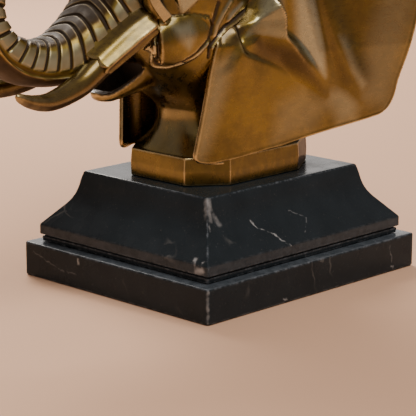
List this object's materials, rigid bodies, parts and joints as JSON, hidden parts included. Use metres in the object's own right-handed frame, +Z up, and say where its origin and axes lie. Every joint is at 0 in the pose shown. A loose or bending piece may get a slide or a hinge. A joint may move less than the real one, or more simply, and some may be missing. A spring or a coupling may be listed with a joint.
{
  "type": "bronze elephant bust on a marble plinth",
  "caption": "Cast bronze elephant head with raised ribbed trunk, sheathed tusks and wide swept ears, on a moulded black marble plinth.",
  "frame": {"origin": "centre of the underside of the plinth's slab", "axes": "+Z up; the elephant faces -Y; its left side is +X; it is symmetric about X = 0"},
  "size_m": [0.154, 0.2801, 0.2542],
  "materials": {
    "marble": "polished near-black marble with fine white veins",
    "bronze": "golden-brown patinated bronze, waxed"
  },
  "bodies": {
    "root": {"plinth_slab": "marble", "plinth_block": "marble", "elephant_bust": "bronze"}
  },
  "joints": []
}
